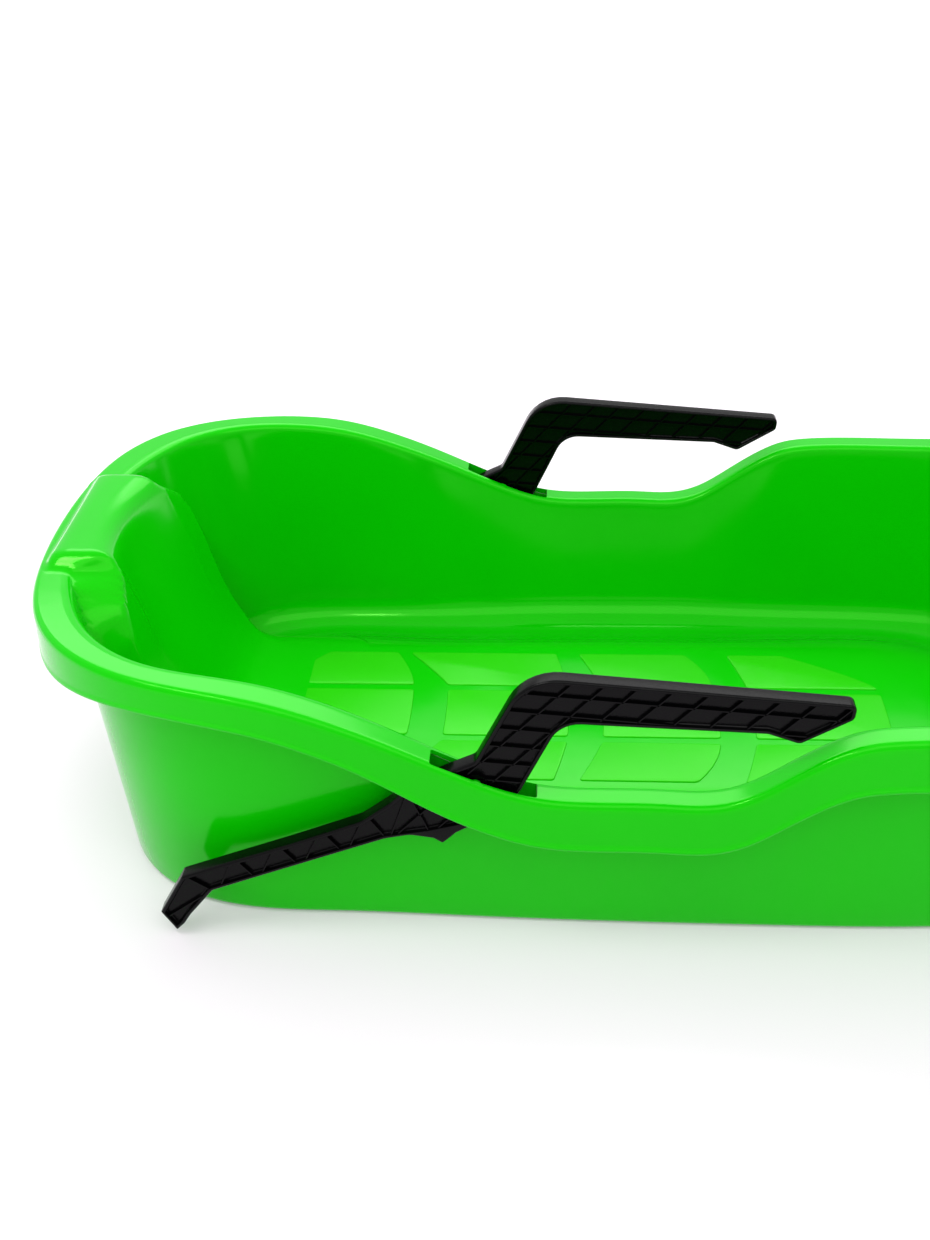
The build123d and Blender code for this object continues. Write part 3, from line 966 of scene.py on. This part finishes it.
green = plastic("green_plastic", (0.002, 0.455, 0.0001), (0.0015, 0.435, 0.0001), 0.13)
green_grain = plastic("green_grained", (0.022, 0.50, 0.004), (0.020, 0.485, 0.003), 0.22, 0.005, grain=1500.0)
black = plastic("black_plastic", (0.0006, 0.0006, 0.0008), (0.001, 0.001, 0.0012), 0.20, grain=900.0, spec=0.10,
                tint=(1.0, 1.0, 1.0))
# lighter black on the ribs and the pivot boss: a painted highlight standing in for the light their edges catch
rib_painted_highlight = plastic("rib_painted_highlight", (0.022, 0.022, 0.026), (0.03, 0.03, 0.034), 0.45, grain=900.0, spec=0.3,
                    tint=(1.0, 1.0, 1.0))


def dress(ob, mat, body):
    ob.data.materials.clear()
    ob.data.materials.append(mat)
    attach(ob, body)


dress(tub, green, "tub")
dress(panels, green_grain, "tub")
for q in pins:
    dress(q, green, "tub")
dress(levers["left"], black, "lever_left")
dress(levers["right"], black, "lever_right")
for q in levers.values():
    q.data.materials.append(rib_painted_highlight)
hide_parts("tub_shell", "rim")
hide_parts("brake_lever_left")
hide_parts("brake_lever_right")

# --------------------------------------------------------- floor and studio
bpy.ops.mesh.primitive_plane_add(size=60, location=(0, 0, -0.0004))
ground = bpy.context.object
ground.name = "studio_floor"
gm = bpy.data.materials.new("floor_with_painted_glow")
gm.use_nodes = True
gb = gm.node_tree.nodes["Principled BSDF"]
gn = gm.node_tree.nodes.new("ShaderNodeTexNoise")
gn.inputs["Scale"].default_value = 3.0
# base colour faintly magenta to cancel the green light the sled bounces into its shadow: painted shade colour,
# with a little random tone from the noise
anti_bounce_tint = gm.node_tree.nodes.new("ShaderNodeMix")
anti_bounce_tint.data_type = "RGBA"
anti_bounce_tint.inputs[6].default_value = (0.72, 0.665, 0.72, 1)
anti_bounce_tint.inputs[7].default_value = (0.735, 0.68, 0.735, 1)
# the floor glows by itself: emission 0.14 within 0.6 m of the sled, rising to 1.0 beyond 1.6 m; this is painted
# light on the open floor and painted shade around the sled
gb.inputs["Emission Color"].default_value = (1, 1, 1, 1)
gc = gm.node_tree.nodes.new("ShaderNodeTexCoord")
gl = gm.node_tree.nodes.new("ShaderNodeVectorMath")
gl.operation = "LENGTH"
floor_glow_ramp = gm.node_tree.nodes.new("ShaderNodeMapRange")
floor_glow_ramp.inputs["From Min"].default_value = 0.60
floor_glow_ramp.inputs["From Max"].default_value = 1.6
floor_glow_ramp.inputs["To Min"].default_value = 0.14
floor_glow_ramp.inputs["To Max"].default_value = 1.0
gm.node_tree.links.new(gc.outputs["Object"], gl.inputs[0])
gm.node_tree.links.new(gl.outputs["Value"], floor_glow_ramp.inputs["Value"])
gm.node_tree.links.new(floor_glow_ramp.outputs["Result"], gb.inputs["Emission Strength"])
gm.node_tree.links.new(gn.outputs["Fac"], anti_bounce_tint.inputs[0])
gm.node_tree.links.new(anti_bounce_tint.outputs[2], gb.inputs["Base Color"])
gb.inputs["Roughness"].default_value = 0.7
gb.inputs["Specular IOR Level"].default_value = 0.15
ground.data.materials.append(gm)

world = bpy.data.worlds.new("studio")
bpy.context.scene.world = world
world.use_nodes = True
wn = world.node_tree.nodes
wl = world.node_tree.links
bg = wn["Background"]
bg.inputs["Color"].default_value = (1, 1, 1, 1)
# bright above and behind the sled, dim in front of it
wc = wn.new("ShaderNodeTexCoord")
wd = wn.new("ShaderNodeVectorMath")
wd.operation = "DOT_PRODUCT"
wd.inputs[1].default_value = (-0.02, 0.05, 0.998)
wr = wn.new("ShaderNodeMapRange")
wr.interpolation_type = "SMOOTHSTEP"
wr.inputs["From Min"].default_value = 0.0
wr.inputs["From Max"].default_value = 0.95
wr.inputs["To Min"].default_value = 0.86
wr.inputs["To Max"].default_value = 1.15
wl.new(wc.outputs["Generated"], wd.inputs[0])
wl.new(wd.outputs["Value"], wr.inputs["Value"])
wl.new(wr.outputs["Result"], bg.inputs["Strength"])


def area(name, loc, target, size, size_y, power):
    d = bpy.data.lights.new(name, "AREA")
    d.shape = "RECTANGLE"
    d.size, d.size_y, d.energy = size, size_y, power
    ob = bpy.data.objects.new(name, d)
    bpy.context.scene.collection.objects.link(ob)
    ob.location = loc
    ob.rotation_euler = (Vector(target) - Vector(loc)).to_track_quat("-Z", "Y").to_euler()
    return ob


area("back_box", (0.0, 1.35, 1.75), (0, 0, 0.1), 2.6, 1.0, 24)
area("front_box", (0.3, -1.3, 2.0), (0, 0, 0.0), 2.2, 1.1, 14)
area("strip", (-0.66, -0.50, 1.25), (-0.3, -0.1, 0.2), 0.6, 0.09, 4.0)

# ------------------------------------------------------------------- camera
PHI, PSI, RHO = math.radians(32.68), math.radians(-4.68), math.radians(-2.03)
CAM = (63.9, -908.0, 584.9)
d = Vector((math.sin(PSI) * math.cos(PHI), math.cos(PSI) * math.cos(PHI), -math.sin(PHI)))
r = Vector((math.cos(PSI), -math.sin(PSI), 0.0))
u = r.cross(d)
r2 = math.cos(RHO) * r + math.sin(RHO) * u
u2 = -math.sin(RHO) * r + math.cos(RHO) * u
cd = bpy.data.cameras.new("camera")
cam = bpy.data.objects.new("camera", cd)
bpy.context.scene.collection.objects.link(cam)
from mathutils import Matrix
m = Matrix.Identity(4)
for i in range(3):
    m[i][0], m[i][1], m[i][2] = r2[i], u2[i], -d[i]
w = to_world(np.array(CAM))
m[0][3], m[1][3], m[2][3] = float(w[0]), float(w[1]), float(w[2])
cam.matrix_world = m
cd.sensor_fit = "HORIZONTAL"
cd.sensor_width = 36.0
cd.lens = 1450.0 / 930.0 * 36.0
cd.clip_start = 0.02
bpy.context.scene.camera = cam
vs = bpy.context.scene.view_settings
vs.view_transform = "Standard"
vs.look = "None"
vs.exposure = 0.0
vs.gamma = 1.0
